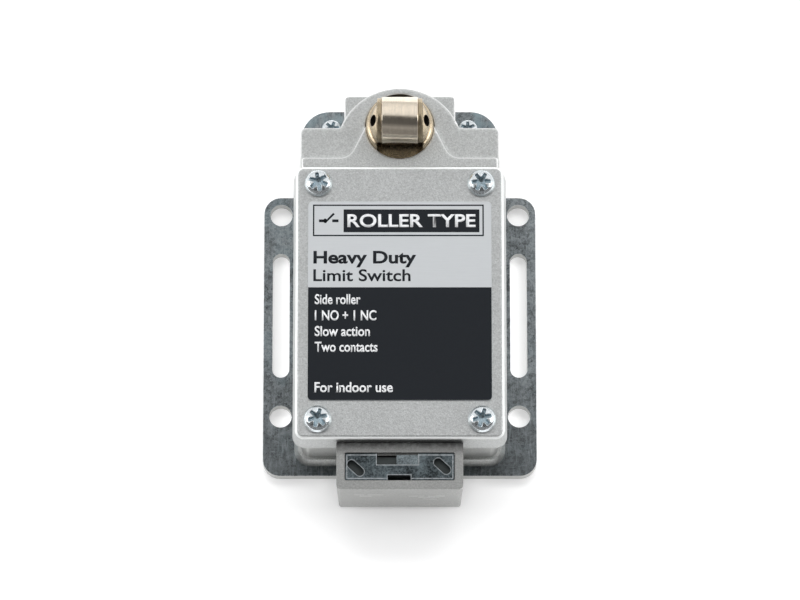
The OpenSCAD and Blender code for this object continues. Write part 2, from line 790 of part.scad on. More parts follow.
module wires() {
    color([0.75, 0.1, 0.08]) for (side = [-1, 1]) {
        wire(side, nc_terminal_y, wire_lanes[0], side * 2.4, 15.4);
        wire(side, no_terminal_y, wire_lanes[1], side * 6, 12);
    }
}

mounting_plate();
body_housing();
cover();
cover_gasket();
cover_screws();
nameplate();
head_housing();
head_gasket();
head_screws();
plate_screws();
ground_screws();
spring_plate();
plunger_seal();
rod_bushing();
rod_seal();
plunger_spring();
receptacle_housing();
receptacle_gasket();
receptacle_screws();
receptacle_plate();
receptacle_latch();
receptacle_insulator();
receptacle_pins();
contact_base();
contact_cover();
contact_screws();
fixed_contacts();
terminal_screws();
terminal_clamps();
wires();
return_spring();
plunger();
roller_pin();
thrust_washers();
stop_pins();
roller();
push_rod();
contact_carrier();
contact_bridges();
bridge_springs();
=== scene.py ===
import math

import bmesh
import bpy
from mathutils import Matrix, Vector


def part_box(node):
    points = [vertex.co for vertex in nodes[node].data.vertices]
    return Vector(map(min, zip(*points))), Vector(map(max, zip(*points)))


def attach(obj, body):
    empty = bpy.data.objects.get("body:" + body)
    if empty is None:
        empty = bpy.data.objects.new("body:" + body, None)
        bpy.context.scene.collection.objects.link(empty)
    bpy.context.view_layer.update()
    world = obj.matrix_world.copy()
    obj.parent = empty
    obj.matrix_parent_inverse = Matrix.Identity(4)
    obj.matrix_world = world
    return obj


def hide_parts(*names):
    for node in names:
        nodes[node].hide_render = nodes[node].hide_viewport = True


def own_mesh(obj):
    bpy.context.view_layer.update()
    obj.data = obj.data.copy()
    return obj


MM = 0.001

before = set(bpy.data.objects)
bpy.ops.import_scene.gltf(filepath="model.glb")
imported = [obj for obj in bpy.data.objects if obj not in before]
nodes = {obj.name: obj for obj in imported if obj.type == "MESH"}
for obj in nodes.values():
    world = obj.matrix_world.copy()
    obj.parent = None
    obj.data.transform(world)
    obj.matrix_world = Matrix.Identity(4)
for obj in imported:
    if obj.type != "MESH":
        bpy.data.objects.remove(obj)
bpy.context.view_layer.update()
scene = bpy.context.scene
scene.view_settings.view_transform = "Standard"
scene.view_settings.look = "None"


# ---------------------------------------------------------------- materials


def shade(tone, factor):
    """A colour times a factor, held below full white."""
    return tuple(min(1, c * factor) for c in tone)


class Mat:
    """A node material with short helpers. Coordinates are the object's own, in millimetres."""

    def __init__(self, name, metallic, roughness, color, specular=0.5, ior=1.5):
        self.m = bpy.data.materials.new(name)
        self.m.use_nodes = True
        self.t = self.m.node_tree
        self.b = self.t.nodes["Principled BSDF"]
        self.b.inputs["Metallic"].default_value = metallic
        self.b.inputs["Roughness"].default_value = roughness
        self.b.inputs["Base Color"].default_value = (*color, 1)
        self.b.inputs["IOR"].default_value = ior
        self.b.inputs["Specular IOR Level"].default_value = specular
        tc = self.t.nodes.new("ShaderNodeTexCoord")
        mp = self.t.nodes.new("ShaderNodeMapping")
        mp.inputs["Scale"].default_value = (1000, 1000, 1000)
        self.link(tc.outputs["Object"], mp.inputs["Vector"])
        self.mm = mp.outputs["Vector"]

    def link(self, a, b):
        self.t.links.new(a, b)
        return b

    def scaled(self, sx, sy, sz):
        """Coordinates stretched along the axes, for drawn-out patterns."""
        n = self.t.nodes.new("ShaderNodeMapping")
        n.inputs["Scale"].default_value = (sx, sy, sz)
        self.link(self.mm, n.inputs["Vector"])
        return n.outputs["Vector"]

    def noise(self, scale, detail=3.0, rough=0.5, vector=None, distortion=0.0):
        n = self.t.nodes.new("ShaderNodeTexNoise")
        n.inputs["Scale"].default_value = scale
        n.inputs["Detail"].default_value = detail
        n.inputs["Roughness"].default_value = rough
        n.inputs["Distortion"].default_value = distortion
        self.link(vector or self.mm, n.inputs["Vector"])
        return n.outputs["Fac"]

    def voronoi(self, scale, vector=None, feature="F1", output="Distance"):
        n = self.t.nodes.new("ShaderNodeTexVoronoi")
        n.feature = feature
        n.inputs["Scale"].default_value = scale
        self.link(vector or self.mm, n.inputs["Vector"])
        return n.outputs[output]

    def remap(self, value, a, b, c, d):
        n = self.t.nodes.new("ShaderNodeMapRange")
        for i, v in zip(("From Min", "From Max", "To Min", "To Max"), (a, b, c, d)):
            n.inputs[i].default_value = v
        self.link(value, n.inputs["Value"])
        return n.outputs["Result"]

    def math(self, op, a, b=None):
        n = self.t.nodes.new("ShaderNodeMath")
        n.operation = op
        for i, v in enumerate((a, b)):
            if v is None:
                continue
            if isinstance(v, (int, float)):
                n.inputs[i].default_value = v
            else:
                self.link(v, n.inputs[i])
        return n.outputs[0]

    def mix(self, factor, c1, c2):
        n = self.t.nodes.new("ShaderNodeMix")
        n.data_type = "RGBA"
        self.link(factor, n.inputs["Factor"])
        for socket, c in ((n.inputs[6], c1), (n.inputs[7], c2)):
            if isinstance(c, tuple):
                socket.default_value = (*c, 1)
            else:
                self.link(c, socket)
        return n.outputs[2]

    def radius(self, centre, keep):
        """Distance in millimetres from an axis through centre; keep has 0 along the axis."""
        out = self.mm
        for op, v in (("SUBTRACT", centre), ("MULTIPLY", keep)):
            n = self.t.nodes.new("ShaderNodeVectorMath")
            n.operation = op
            self.link(out, n.inputs[0])
            n.inputs[1].default_value = v
            out = n.outputs[0]
        n = self.t.nodes.new("ShaderNodeVectorMath")
        n.operation = "LENGTH"
        self.link(out, n.inputs[0])
        return n.outputs["Value"]

    def outside(self, centre, half, turn=0.0, round_r=0.0):
        """Distance in millimetres outside a box in the XY plane, negative inside it."""
        n = self.t.nodes.new("ShaderNodeVectorMath")
        n.operation = "SUBTRACT"
        self.link(self.mm, n.inputs[0])
        n.inputs[1].default_value = (centre[0], centre[1], 0)
        r = self.t.nodes.new("ShaderNodeVectorRotate")
        r.rotation_type = "Z_AXIS"
        self.link(n.outputs[0], r.inputs["Vector"])
        r.inputs["Angle"].default_value = math.radians(-turn)
        x = self.t.nodes.new("ShaderNodeSeparateXYZ")
        self.link(r.outputs[0], x.inputs[0])
        d = [self.math("SUBTRACT", self.math("ABSOLUTE", x.outputs[i]), half[i] - round_r) for i in (0, 1)]
        if not round_r:
            return self.math("MAXIMUM", d[0], d[1])
        over = [self.math("POWER", self.math("MAXIMUM", v, 0.0), 2.0) for v in d]
        return self.math("SUBTRACT", self.math("SQRT", self.math("ADD", over[0], over[1])), round_r)

    def band(self, d, a, b, soft=0.08):
        """1 where d lies between a and b."""
        return self.both(self.remap(d, a - soft, a + soft, 0, 1), self.remap(d, b - soft, b + soft, 1, 0))

    def axis(self, which):
        """One coordinate, in millimetres."""
        n = self.t.nodes.new("ShaderNodeSeparateXYZ")
        self.link(self.mm, n.inputs[0])
        return n.outputs[which]

    def both(self, a, b):
        """The overlap of two masks."""
        return self.math("MULTIPLY", a, b)

    def edges(self, lo, hi):
        """0 on flat ground, 1 on convex edges, for dense meshes only."""
        g = self.t.nodes.new("ShaderNodeNewGeometry")
        return self.remap(g.outputs["Pointiness"], lo, hi, 0, 1)

    def slant(self, lo, hi):
        """1 on faces whose normal has a Z component between lo and hi: 0 is upright and 1 is flat."""
        g = self.t.nodes.new("ShaderNodeNewGeometry")
        v = self.t.nodes.new("ShaderNodeVectorTransform")
        v.vector_type = "NORMAL"
        v.convert_from = "WORLD"
        v.convert_to = "OBJECT"
        self.link(g.outputs["True Normal"], v.inputs[0])
        n = self.t.nodes.new("ShaderNodeSeparateXYZ")
        self.link(v.outputs[0], n.inputs[0])
        above = self.remap(n.outputs["Z"], lo - 0.05, lo + 0.05, 0, 1)
        below = self.remap(n.outputs["Z"], hi - 0.01, hi + 0.01, 1, 0)
        return self.both(above, below)

    def color(self, value):
        self.link(value, self.b.inputs["Base Color"])

    def roughness(self, value):
        self.link(value, self.b.inputs["Roughness"])

    def bump(self, height, distance_mm, strength=1.0):
        n = self.t.nodes.new("ShaderNodeBump")
        n.inputs["Distance"].default_value = distance_mm * MM
        n.inputs["Strength"].default_value = strength
        self.link(height, n.inputs["Height"])
        if self.b.inputs["Normal"].is_linked:
            self.link(self.b.inputs["Normal"].links[0].from_socket, n.inputs["Normal"])
        self.link(n.outputs["Normal"], self.b.inputs["Normal"])


# Places on the CAD model that the materials refer to, in millimetres.
pin_lo, pin_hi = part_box("roller_pin")
PLUNGER_Y = (pin_lo.y + pin_hi.y) / 2 / MM
PIN_Z = (pin_lo.z + pin_hi.z) / 2 / MM
PIN_R = (pin_hi.z - pin_lo.z) / 2 / MM
plunger_lo, plunger_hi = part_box("plunger")
PLUNGER_R = (plunger_hi.x - plunger_lo.x) / 2 / MM
HEAD_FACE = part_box("head_housing")[1].z / MM
# A painted shadow on the receptacle's face starts at this step.
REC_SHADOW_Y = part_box("cover")[0].y / MM + 0.3  # where the receptacle's block meets the cover's skirt

# Openings of the receptacle's plate, in millimetres: centre and half size.
WINDOW = ((-0.7, -52.8), (6.5, 2.5))
NOTCH = ((-0.2, -61.0), (3.6, 2.3))
SLOT_AT = ((-13.85, -56.4), (13.3, -55.8))
SLOT_HALF = (3.1, 1.35)
SLOT_TURN = -43


def cast_metal(name, tone, rough, dense=False, joint=None, shine=(0.36, 0.97), metallic=0.9):
    """Satin die casting with sandy grain and cloudiness.

    dense: the mesh is remeshed, so curvature finds its edges: convex edges get a painted highlight, creases painted
    shade, and the plunger's bore painted shade.
    A Y for the step to the cover starts a painted shadow on the face below it. shine: the range of slant() whose
    rounded edges get a painted highlight.
    """
    m = Mat(name, metallic, rough, tone)
    cloud = m.remap(m.noise(0.09, 4, 0.6), 0.3, 0.7, 0, 1)
    sand = m.noise(1.9, 3, 0.75)
    fine = m.noise(5.5, 4, 0.65)
    pit = m.remap(m.voronoi(0.8), 0.0, 0.16, 1, 0)
    base = m.mix(cloud, shade(tone, 0.94), shade(tone, 1.04))
    # Dark and light grains, and a few pits.
    base = m.mix(m.remap(sand, 0.36, 0.5, 0.8, 0), base, shade(tone, 0.77))
    base = m.mix(m.remap(sand, 0.52, 0.68, 0, 0.8), base, shade(tone, 1.24))
    base = m.mix(m.math("MULTIPLY", pit, 0.25), base, shade(tone, 0.7))
    # Painted shadow of the cover's step: the face below it is darkened in patches.
    if joint is not None:
        near = m.remap(m.axis("Y"), joint - 4.2, joint - 0.4, 0, 1)
        patchy = m.remap(m.noise(0.7, 3), 0.3, 0.6, 0.75, 1)
        base = m.mix(m.both(near, patchy), base, shade(tone, 0.2))
    if not dense:
        # Painted shade on upright and downward faces, and a painted highlight, with less metal, on the rounded
        # edges in the shine range.
        side = m.slant(-0.5, 0.3)
        base = m.mix(m.math("MULTIPLY", side, 0.25), base, shade(tone, 0.6))
        rim = m.slant(*shine)
        base = m.mix(rim, base, shade(tone, 1.5))
        m.link(m.remap(rim, 0, 1, metallic, metallic * 0.3), m.b.inputs["Metallic"])
    else:
        # Painted highlight on convex edges and painted shade in creases, found by curvature.
        base = m.mix(m.edges(0.512, 0.56), base, shade(tone, 1.6))
        base = m.mix(m.edges(0.485, 0.44), base, shade(tone, 0.7))
        # Painted shade, nearly black, in the plunger's bore below the head's face.
        inside = m.remap(m.radius((0, PLUNGER_Y, 0), (1, 1, 0)), PLUNGER_R + 0.2, PLUNGER_R + 0.45, 1, 0)
        deep = m.remap(m.axis("Z"), HEAD_FACE - 0.9, HEAD_FACE - 0.4, 1, 0)
        base = m.mix(m.both(inside, deep), base, (0.03, 0.03, 0.028))
    m.color(base)
    m.roughness(m.remap(fine, 0.3, 0.7, rough - 0.06, rough + 0.08))
    m.bump(fine, 0.03)
    m.bump(sand, 0.10)
    return m.m


def plated(name, tone, rough, mottle, scratch=0.5, spangle=1.1, stain=False):
    """Zinc plate: crystals of different greys, clouds and fine scratches.

    The last flag is for the mounting plate: bluish patches, painted shade darkening the cable end, streaks of
    painted sheen and upright sides painted paler as a highlight.
    """
    m = Mat(name, 1.0, rough, tone)
    big = m.noise(0.14, 5, 0.62, distortion=0.4)
    small = m.noise(2.2, 4, 0.75)
    cell = m.voronoi(spangle, output="Color")
    n = m.t.nodes.new("ShaderNodeSeparateColor")
    m.link(cell, n.inputs[0])
    grade = m.math("ADD", m.math("MULTIPLY", big, 0.55), m.math("MULTIPLY", small, 0.55))
    grade = m.math("ADD", grade, m.math("MULTIPLY", n.outputs[0], 0.16))
    blend = m.remap(grade, 0.48, 0.78, 0, 1)
    base = m.mix(blend, shade(tone, 1 - mottle), shade(tone, 1 + mottle))
    lines = m.remap(m.noise(1.0, 2, 0.4, m.scaled(5.0, 0.16, 0.16)), 0.64, 0.72, 0, 1)
    cross = m.remap(m.noise(1.0, 2, 0.4, m.scaled(0.35, 4.0, 0.35)), 0.68, 0.76, 0, 1)
    marks = m.math("MULTIPLY", m.math("MAXIMUM", lines, cross), scratch)
    if stain:
        side = m.slant(-0.5, 0.4)
        patch = m.remap(m.noise(0.11, 3, 0.5), 0.48, 0.62, 0, 0.7)
        blue = m.both(patch, m.remap(m.axis("Y"), 30, 60, 0.25, 1))
        base = m.mix(blue, base, (0.34, 0.45, 0.49))
        # Painted shade: darker towards the cable end.
        base = m.mix(m.remap(m.axis("Y"), -48, -15, 0.55, 0), base, shade(tone, 0.4))
        # Streaks of painted sheen.
        streak = m.remap(m.noise(1.0, 3, 0.6, m.scaled(0.9, 0.12, 0.3)), 0.55, 0.75, 0, 0.6)
        base = m.mix(streak, base, shade(tone, 1.8))
    base = m.mix(marks, base, shade(tone, 1.7))
    # Painted highlight: upright sides paler.
    if stain:
        base = m.mix(side, base, (0.50, 0.505, 0.49))
    m.color(base)
    m.roughness(m.remap(small, 0.3, 0.7, rough - 0.1, rough + 0.12))
    m.bump(small, 0.03)
    m.bump(lines, 0.01)
    return m


def plated_steel(*args, **kw):
    """plated() as a finished material."""
    return plated(*args, **kw).m


def insert_metal():
    """The receptacle's plate: dark mottled zinc with painted highlights on the rims round its outline and openings.
    """
    m = plated("zinc_insert", (0.115, 0.14, 0.15), 0.34, 0.75, 0.4, 1.7)
    lo, hi = (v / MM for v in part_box("receptacle_plate"))
    middle, half = (lo + hi) / 2, (hi - lo) / 2
    # Painted highlights along the rims of the outline and the openings, on the top face only.
    rims = [m.band(m.outside(middle, half), -0.62, -0.34)]
    rims.append(m.math("MULTIPLY", m.band(m.outside(*WINDOW), -0.02, 0.28), 0.9))
    rims.append(m.math("MULTIPLY", m.band(m.outside(*NOTCH), 0.0, 0.3), 0.8))
    for centre in SLOT_AT:
        slot = m.outside(centre, SLOT_HALF, SLOT_TURN, SLOT_HALF[1] - 0.01)
        rims.append(m.math("MULTIPLY", m.band(slot, 0.0, 0.25), 0.7))
    rim = rims[0]
    for r in rims[1:]:
        rim = m.math("MAXIMUM", rim, r)
    rim = m.both(rim, m.remap(m.noise(1.2, 3), 0.3, 0.6, 0.4, 1))
    rim = m.both(rim, m.remap(m.axis("Z"), hi.z - 0.3, hi.z - 0.1, 0, 1))
    base = m.b.inputs["Base Color"].links[0].from_socket
    m.color(m.mix(rim, base, (0.62, 0.66, 0.68)))
    return m.m


def turned_metal(name, tone, rough, axis_scale, streak=0.12, bump=0.006):
    """Turned metal: fine rings round the turning axis and slight tarnish."""
    m = Mat(name, 1.0, rough, tone)
    rings = m.noise(1.0, 3, 0.6, m.scaled(*axis_scale))
    cloud = m.noise(0.5, 4, 0.6)
    base = m.mix(m.remap(rings, 0.3, 0.7, 0, 1), shade(tone, 1 - streak), shade(tone, 1 + streak))
    m.color(m.mix(m.remap(cloud, 0.5, 0.8, 0, 0.5), base, shade(tone, 0.8)))
    m.roughness(m.remap(cloud, 0.3, 0.7, rough - 0.05, rough + 0.08))
    m.bump(rings, bump)
    return m.m


def plunger_metal():
    """Turned bronze with painted shade: nearly black in the pin holes and dark inside the fork."""
    tone = (0.60, 0.50, 0.36)
    m = Mat("plunger_bronze", 1.0, 0.24, tone)
    rings = m.noise(1.0, 3, 0.6, m.scaled(0.2, 0.2, 6.0))
    cloud = m.noise(0.6, 4, 0.6)
    base = m.mix(m.remap(rings, 0.3, 0.7, 0, 1), shade(tone, 0.88), shade(tone, 1.12))
    base = m.mix(m.remap(cloud, 0.5, 0.8, 0, 0.5), base, shade(tone, 0.75))
    # Painted shade: nearly black in the pin holes, dark inside the fork.
    hole = m.remap(m.radius((0, PLUNGER_Y, PIN_Z), (0, 1, 1)), PIN_R + 0.05, PIN_R + 0.2, 1, 0)
    fork = m.remap(m.axis("Z"), HEAD_FACE - 2.5, HEAD_FACE + 0.5, 1, 0)
    middle = m.remap(m.radius((0, 0, 0), (1, 0, 0)), 7.5, 8.0, 0.4, 0.1)
    base = m.mix(m.both(fork, middle), base, (0.10, 0.098, 0.082))
    m.color(m.mix(hole, base, (0.015, 0.013, 0.012)))
    m.roughness(m.math("ADD", m.remap(cloud, 0.3, 0.7, 0.2, 0.32), m.math("MULTIPLY", hole, 0.4)))
    m.bump(rings, 0.006)
    return m.m


def moulded(name, tone, rough, grain=0.02):
    """Moulded plastic or rubber with a fine grain."""
    m = Mat(name, 0.0, rough, tone, specular=0.4)
    n = m.noise(3.0, 4, 0.6)
    cloud = m.remap(m.noise(0.2, 3), 0.3, 0.7, 0, 1)
    m.color(m.mix(cloud, shade(tone, 0.85), shade(tone, 1.15)))
    m.roughness(m.remap(n, 0.3, 0.7, rough - 0.06, rough + 0.08))
    m.bump(n, grain)
    return m.m


CAST = cast_metal("cast_satin", (0.62, 0.635, 0.63), 0.40)
CAST_HEAD = cast_metal("cast_head", (0.63, 0.645, 0.635), 0.40, dense=True)
# A darker copy of the casting for the receptacle, as painted shade.
CAST_REC = cast_metal("cast_receptacle", (0.43, 0.435, 0.425), 0.40, joint=REC_SHADOW_Y)
CAST_BODY = cast_metal("cast_body", (0.64, 0.65, 0.635), 0.40, shine=(0.7, 0.97))
CAST_RELIEF = cast_metal("cast_relief", (0.60, 0.61, 0.60), 0.42, shine=(0.9, 1.1), metallic=0.7)
# A brighter copy of the casting for bevel faces: a painted highlight.
CAST_EDGE = cast_metal("cast_edge_highlight", (0.86, 0.87, 0.85), 0.40, shine=(0.9, 1.1), metallic=0.35)
ZINC = plated_steel("zinc_plate", (0.25, 0.275, 0.285), 0.34, 0.6, stain=True)
# A brighter copy of the zinc for bevel faces: a painted highlight.
ZINC_EDGE = plated_steel("zinc_worn_edge", (0.72, 0.76, 0.78), 0.3, 0.2)
ZINC_INSERT = insert_metal()
LATCH = plated_steel("latch_zinc", (0.23, 0.27, 0.285), 0.34, 0.6, 0.4, 2.5)
SCREW = plated_steel("screw_zinc", (0.80, 0.85, 0.87), 0.2, 0.08, 0.2)
# Bluish zinc for the star recess, made darker as painted shade.
RECESS = plated_steel("screw_recess", (0.36, 0.45, 0.50), 0.3, 0.4, 0.3, 2.5)
STEEL = turned_metal("bright_steel", (0.60, 0.60, 0.60), 0.3, (0.4, 3.0, 3.0))
# Nearly black, as painted shade in the roller pin's holes.
PIN_DARK = turned_metal("pin_painted_shade", (0.03, 0.028, 0.026), 0.5, (0.4, 3.0, 3.0))
ROLLER = turned_metal("roller_metal", (0.90, 0.80, 0.655), 0.17, (9.0, 0.15, 0.15), 0.10, 0.005)
BRONZE = turned_metal("bushing_bronze", (0.62, 0.53, 0.38), 0.26, (0.2, 0.2, 6.0))
PLUNGER = plunger_metal()
WASHER = turned_metal("washer_bronze", (0.46, 0.38, 0.26), 0.28, (6.0, 0.3, 0.3))
BRASS = turned_metal("contact_brass", (0.75, 0.58, 0.28), 0.3, (0.3, 4.0, 0.3))
SPRING = turned_metal("spring_steel", (0.55, 0.55, 0.56), 0.25, (2.0, 2.0, 2.0))
RUBBER = moulded("black_rubber", (0.02, 0.02, 0.02), 0.6)
PHENOLIC = moulded("phenolic", (0.026, 0.032, 0.032), 0.36, 0.05)
NYLON = moulded("carrier_nylon", (0.62, 0.58, 0.48), 0.42)
WIRE = moulded("wire_red", (0.45, 0.03, 0.02), 0.35, 0.005)


def plate_face():
    """Printed aluminium: fine brushed lines."""
    tone = (0.68, 0.705, 0.72)
    m = Mat("nameplate_silver", 0.75, 0.38, tone)
    lines = m.noise(1.0, 3, 0.6, m.scaled(0.12, 8.0, 1.0))
    m.color(m.mix(m.remap(lines, 0.3, 0.7, 0, 1), shade(tone, 0.95), tone))
    m.roughness(m.remap(m.noise(0.6, 3), 0.3, 0.7, 0.34, 0.44))
    m.bump(lines, 0.004)
    return m.m


def ink(name, tone, rough, specular=0.35):
    """Printed ink, slightly uneven."""
    m = Mat(name, 0.0, rough, tone, specular=specular)
    n = m.noise(4.0, 4, 0.65)
    m.color(m.mix(m.remap(n, 0.3, 0.7, 0, 1), shade(tone, 0.9), shade(tone, 1.12)))
    m.roughness(m.remap(m.noise(0.8, 3), 0.3, 0.7, rough - 0.05, rough + 0.07))
    m.bump(n, 0.004)
    return m.m


NAMEPLATE = plate_face()
INK_DARK = ink("ink_black", (0.010, 0.012, 0.015), 0.45, 0.15)
INK_LIGHT = ink("ink_silver", (0.68, 0.69, 0.70), 0.4)

# ---------------------------------------------------------------- CAD nodes

LOOKS = {
    "mounting_plate": ZINC,
    "body_housing": CAST_BODY,
    "cover": CAST,
    "head_housing": CAST_HEAD,
    "receptacle_housing": CAST_REC,
    "nameplate": NAMEPLATE,
    "cover_screws": SCREW,
    "ground_screws": SCREW,
    "plate_screws": SCREW,
    "contact_screws": SCREW,
    "terminal_screws": SCREW,
    "terminal_clamps": SCREW,
    "receptacle_plate": ZINC_INSERT,
    "receptacle_latch": LATCH,
    "head_screws": STEEL,
    "receptacle_screws": STEEL,
    "spring_plate": STEEL,
    "roller_pin": PIN_DARK,
    "stop_pins": STEEL,
    "push_rod": STEEL,
    "plunger": PLUNGER,
    "rod_bushing": BRONZE,
    "thrust_washers": WASHER,
    "roller": ROLLER,
    "plunger_spring": SPRING,
    "return_spring": SPRING,
    "bridge_springs": SPRING,
    "cover_gasket": RUBBER,
    "head_gasket": RUBBER,
    "receptacle_gasket": RUBBER,
    "plunger_seal": RUBBER,
    "rod_seal": RUBBER,
    "receptacle_insulator": PHENOLIC,
    "contact_base": PHENOLIC,
    "contact_cover": PHENOLIC,
    "contact_carrier": NYLON,
    "receptacle_pins": BRASS,
    "fixed_contacts": BRASS,
    "contact_bridges": BRASS,
    "wires": WIRE,
}

for name, node in nodes.items():
    node.data.materials.clear()
    node.data.materials.append(LOOKS[name])


def soften(name, width, segments=3, angle=32, worn=None):
    """Rounds a CAD node's sharp edges; a brighter second material, where given, paints a highlight on the bevels.
    """
    o = nodes[name]
    m = o.modifiers.new("weld", "WELD")
    m.merge_threshold = 0.003 * MM
    m = o.modifiers.new("bevel", "BEVEL")
    m.width = width * MM
    m.segments = segments
    m.limit_method = "ANGLE"
    m.angle_limit = math.radians(angle)
    m.use_clamp_overlap = True
    m.harden_normals = True
    m.miter_outer = "MITER_ARC"
    if worn:
        o.data.materials.append(worn)
        m.material = 1


def cast_round(name, voxel, iterations):
    """Turns a CAD node's sharp corners into the soft corners of a casting."""
    o = nodes[name]
    m = o.modifiers.new("remesh", "REMESH")
    m.mode = "VOXEL"
    m.voxel_size = voxel * MM
    m.use_smooth_shade = True
    s = o.modifiers.new("smooth", "SMOOTH")
    s.iterations = iterations
    s.factor = 0.5


soften("mounting_plate", 0.28, worn=ZINC_EDGE)
soften("body_housing", 0.5)
soften("nameplate", 0.08, 2)
soften("receptacle_plate", 0.12, 2)
soften("receptacle_housing", 0.22, 3, worn=CAST_EDGE)
soften("receptacle_insulator", 0.1, 2)
soften("receptacle_latch", 0.15, 2, worn=ZINC_EDGE)
soften("plunger", 0.2)
soften("roller", 0.2)
soften("thrust_washers", 0.25)
cast_round("head_housing", 0.33, 5)

# ---------------------------------------------------------------- new pieces


FACE_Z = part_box("nameplate")[1].z
INK_T = 0.02 * MM
LAYER = 1.5 * INK_T


def finish_piece(o, *materials, body, slot):
    """Gives a new piece its materials and the body it rides on. The slot argument is not used."""
    for m in materials:
        o.data.materials.append(m)
    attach(o, body)
    return o


def mesh_object(name, bm):
    me = bpy.data.meshes.new(name)
    bm.to_mesh(me)
    bm.free()
    o = bpy.data.objects.new(name, me)
    scene.collection.objects.link(o)
    return o


def round_corners(x0, y0, x1, y1, r, n=6):
    """Outline of a rectangle; r has its corners' radii: low left, low right, high right, high left."""
    centres = [
        (x0 + r[0], y0 + r[0], 180),
        (x1 - r[1], y0 + r[1], 270),
        (x1 - r[2], y1 - r[2], 0),
        (x0 + r[3], y1 - r[3], 90),
    ]
    out = []
    for (cx, cy, a0), rr in zip(centres, r):
        for k in range(n + 1):
            a = math.radians(a0 + 90 * k / n)
            out.append((cx + rr * math.cos(a), cy + rr * math.sin(a)))
    return out


def prism(bm, outline, z0, z1):
    """A closed prism from a 2D outline in millimetres."""
    low = [bm.verts.new((x * MM, y * MM, z0)) for x, y in outline]
    high = [bm.verts.new((x * MM, y * MM, z1)) for x, y in outline]
    bm.faces.new(high)
    bm.faces.new(list(reversed(low)))
    n = len(outline)
    for i in range(n):
        j = (i + 1) % n
        bm.faces.new([low[i], low[j], high[j], high[i]])


def printed(name, outlines, material, slot, layer=0):
    """Flat print on the nameplate from outlines in millimetres."""
    bm = bmesh.new()
    z0 = FACE_Z + layer * LAYER
    for outline in outlines:
        prism(bm, outline, z0 - 0.5 * INK_T, z0 + INK_T)
    return finish_piece(mesh_object(name, bm), material, body="housing", slot=slot)


def lettering(name, text, x, y, cap, width, material, slot, layer=0, bold=0.0):
    """Text whose capitals are `cap` mm high, stretched to `width` mm, from x at baseline y."""
    cu = bpy.data.curves.new(name, "FONT")
    cu.body = text
    cu.size = 1.0
    cu.offset = bold
    cu.resolution_u = 6
    o = bpy.data.objects.new(name, cu)
    scene.collection.objects.link(o)
    bpy.context.view_layer.update()
    me = bpy.data.meshes.new_from_object(o.evaluated_get(bpy.context.evaluated_depsgraph_get()))
    bpy.data.objects.remove(o)
    bpy.data.curves.remove(cu)
    xs = [v.co.x for v in me.vertices]
    ref = bpy.data.curves.new(name + "_ref", "FONT")
    ref.body = "H"
    ref.size = 1.0
    ro = bpy.data.objects.new(name + "_ref", ref)
    scene.collection.objects.link(ro)
    bpy.context.view_layer.update()
    cap_h = ro.dimensions.y
    bpy.data.objects.remove(ro)
    bpy.data.curves.remove(ref)
    sx = width / (max(xs) - min(xs)) * MM
    sy = cap / cap_h * MM
    x_low = min(xs)
    bm = bmesh.new()
    bm.from_mesh(me)
    bpy.data.meshes.remove(me)
    bmesh.ops.remove_doubles(bm, verts=bm.verts, dist=1e-5)
    z0 = FACE_Z + layer * LAYER
    for v in bm.verts:
        v.co = Vector(((v.co.x - x_low) * sx + x * MM, v.co.y * sy + y * MM, z0 + INK_T))
    made = bmesh.ops.extrude_face_region(bm, geom=bm.faces[:])
    for g in made["geom"]:
        if isinstance(g, bmesh.types.BMVert):
            g.co.z = z0 - 0.5 * INK_T
    bmesh.ops.recalc_face_normals(bm, faces=bm.faces[:])
    return finish_piece(mesh_object(name, bm), material, body="housing", slot=slot)


# ---------------------------------------------------------------- screws and springs


def star_depth(x, y, arms, reach, half, depth):
    """Depth of a star recess at x, y, and how far inside its outline the point is, in millimetres."""
    r = math.hypot(x, y)
    best = 2.4 * half - r
    for k in range(arms):
        a = math.radians(360 * k / arms)
        along = x * math.cos(a) + y * math.sin(a)
        across = abs(-x * math.sin(a) + y * math.cos(a))
        width = half * (1.1 - 0.25 * max(0, along) / reach)
        best = max(best, min(width - across, reach - along, along))
    t = max(0.0, min(1.0, (best + 0.10) / 0.26))
    t = t * t * (3 - 2 * t)
    return t * depth * (1 - 0.45 * r / reach), best


